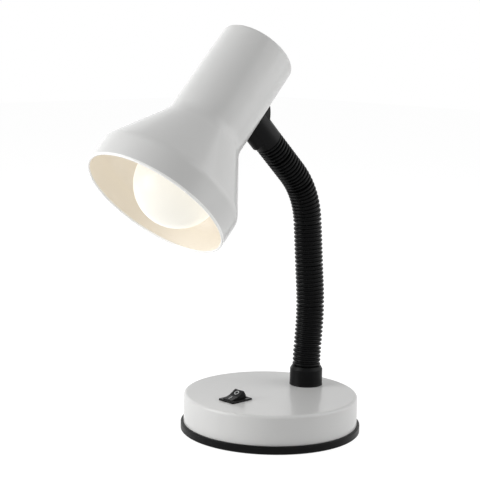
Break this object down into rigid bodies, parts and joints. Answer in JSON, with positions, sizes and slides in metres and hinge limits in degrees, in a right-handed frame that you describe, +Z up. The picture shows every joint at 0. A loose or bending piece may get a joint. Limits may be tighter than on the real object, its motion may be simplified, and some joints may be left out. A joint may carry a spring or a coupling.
{
  "type": "table lamp",
  "caption": "Desk lamp with a round weighted base, a rocker switch, a ribbed flexible neck and a tilting bell shade over a globe bulb.",
  "frame": {"origin": "centre of the foot pad's underside", "axes": "+X the way the lamp head faces, +Y to the left across the lamp, +Z up"},
  "size_m": [0.2542, 0.153, 0.342],
  "materials": {
    "white_enamel": "smooth gloss white enamel",
    "black_moulding": "fine satin black moulding",
    "hose_black": "satin black ribbed hose",
    "switch_black": "glossy black",
    "mark_white": "printed white",
    "pad_rubber": "matt black rubber",
    "ballast_iron": "rough cast",
    "zinc_steel": "bright zinc plate",
    "plated_brass": "drawn, bright",
    "block_white": "natural white",
    "lead_grey": "smooth insulation",
    "holder_white": "smooth white moulding",
    "holder_ceramic": "glazed ceramic",
    "opal": "opal, lit",
    "bulb_white": "satin white",
    "cap_aluminium": "bright rolled thread"
  },
  "bodies": {
    "base": {"foot_pad": "pad_rubber", "base_plate": "black_moulding", "ballast_weight": "ballast_iron", "ballast_screws": "zinc_steel", "base_screws": "zinc_steel", "cover_studs": "zinc_steel", "base_cover": "white_enamel", "cord_gland": "black_moulding", "switch_housing": "switch_black", "switch_terminals": "plated_brass", "terminal_block": "block_white", "base_leads": "lead_grey", "lower_collar": "black_moulding", "neck_nut": "zinc_steel", "neck_hose_base": "hose_black", "neck_core_base": "zinc_steel"},
    "rocker": {"switch_rocker": "switch_black", "rocker_marks": "mark_white"},
    "neck_01": {"neck_hose_01": "hose_black", "neck_core_01": "zinc_steel"},
    "neck_02": {"neck_hose_02": "hose_black", "neck_core_02": "zinc_steel"},
    "neck_03": {"neck_hose_03": "hose_black", "neck_core_03": "zinc_steel"},
    "neck_04": {"neck_hose_04": "hose_black", "neck_core_04": "zinc_steel"},
    "neck_05": {"neck_hose_05": "hose_black", "neck_core_05": "zinc_steel"},
    "neck_06": {"neck_hose_06": "hose_black", "neck_core_06": "zinc_steel"},
    "neck_07": {"neck_hose_07": "hose_black", "neck_core_07": "zinc_steel"},
    "neck_08": {"neck_hose_08": "hose_black", "neck_core_08": "zinc_steel"},
    "neck_09": {"neck_hose_09": "hose_black", "neck_core_09": "zinc_steel"},
    "neck_10": {"neck_hose_10": "hose_black", "neck_core_10": "zinc_steel"},
    "head": {"neck_hose_head": "hose_black", "neck_core_head": "zinc_steel", "upper_collar": "black_moulding", "inner_saddle": "black_moulding", "shade": "white_enamel", "holder_bracket": "zinc_steel", "head_nuts": "zinc_steel", "holder_nipple": "zinc_steel", "holder_dome": "holder_white", "holder_insert": "holder_ceramic", "holder_skirt": "holder_white", "holder_shell": "plated_brass", "holder_contact": "plated_brass", "head_leads": "lead_grey"},
    "bulb": {"bulb_globe": "opal", "bulb_collar": "bulb_white", "bulb_cap": "cap_aluminium", "bulb_tip": "cap_aluminium"}
  },
  "joints": [
    {"name": "rocker_tip", "type": "hinge", "parent": "base", "child": "rocker", "pos_m": [0.04, -0.002, 0.03115], "axis": [0, 1, 0], "range_deg": [-45, 0]},
    {"name": "lower_bend", "type": "hinge", "parent": "base", "child": "neck_01", "pos_m": [-0.04509, 0, 0.06707], "axis": [0, 1, 0], "range_deg": [-9, 8]},
    {"name": "lower_sway", "type": "hinge", "parent": "neck_01", "child": "neck_02", "pos_m": [-0.04663, 0, 0.08521], "axis": [0.9978, 0, 0.0663], "range_deg": [-9, 9]},
    {"name": "lower_bend_second", "type": "hinge", "parent": "neck_02", "child": "neck_03", "pos_m": [-0.04705, 0, 0.1034], "axis": [0, 1, 0], "range_deg": [-9, 8]},
    {"name": "lower_sway_second", "type": "hinge", "parent": "neck_03", "child": "neck_04", "pos_m": [-0.0459, 0, 0.12155], "axis": [0.9948, 0, -0.1023], "range_deg": [-9, 9]},
    {"name": "lower_bend_third", "type": "hinge", "parent": "neck_04", "child": "neck_05", "pos_m": [-0.04413, 0, 0.13967], "axis": [0, 1, 0], "range_deg": [-9, 8]},
    {"name": "upper_sway", "type": "hinge", "parent": "neck_05", "child": "neck_06", "pos_m": [-0.04255, 0, 0.1578], "axis": [0.9965, 0, -0.0836], "range_deg": [-9, 9]},
    {"name": "upper_bend", "type": "hinge", "parent": "neck_06", "child": "neck_07", "pos_m": [-0.0408, 0, 0.17591], "axis": [0, 1, 0], "range_deg": [-9, 8]},
    {"name": "upper_sway_second", "type": "hinge", "parent": "neck_07", "child": "neck_08", "pos_m": [-0.03695, 0, 0.19365], "axis": [0.94, 0, -0.3411], "range_deg": [-9, 9]},
    {"name": "upper_bend_second", "type": "hinge", "parent": "neck_08", "child": "neck_09", "pos_m": [-0.02849, 0, 0.2097], "axis": [0, 1, 0], "range_deg": [-9, 8]},
    {"name": "upper_sway_third", "type": "hinge", "parent": "neck_09", "child": "neck_10", "pos_m": [-0.01613, 0, 0.22301], "axis": [0.682, 0, -0.7314], "range_deg": [-9, 9]},
    {"name": "upper_bend_third", "type": "hinge", "parent": "neck_10", "child": "head", "pos_m": [-0.00282, 0, 0.23542], "axis": [0, 1, 0], "range_deg": [-9, 8]},
    {"name": "bulb_unscrew", "type": "slide", "parent": "head", "child": "bulb", "axis": [0.6225, 0, -0.7826], "range_m": [0, 0.027]}
  ],
  "couplings": [
    {"joint": "lower_bend_second", "follows": "lower_bend", "ratio": 1},
    {"joint": "lower_bend_third", "follows": "lower_bend", "ratio": 1},
    {"joint": "upper_bend_second", "follows": "upper_bend", "ratio": 1},
    {"joint": "upper_bend_third", "follows": "upper_bend", "ratio": 1},
    {"joint": "lower_sway_second", "follows": "lower_sway", "ratio": 1},
    {"joint": "upper_sway_second", "follows": "upper_sway", "ratio": 1},
    {"joint": "upper_sway_third", "follows": "upper_sway", "ratio": 1}
  ]
}
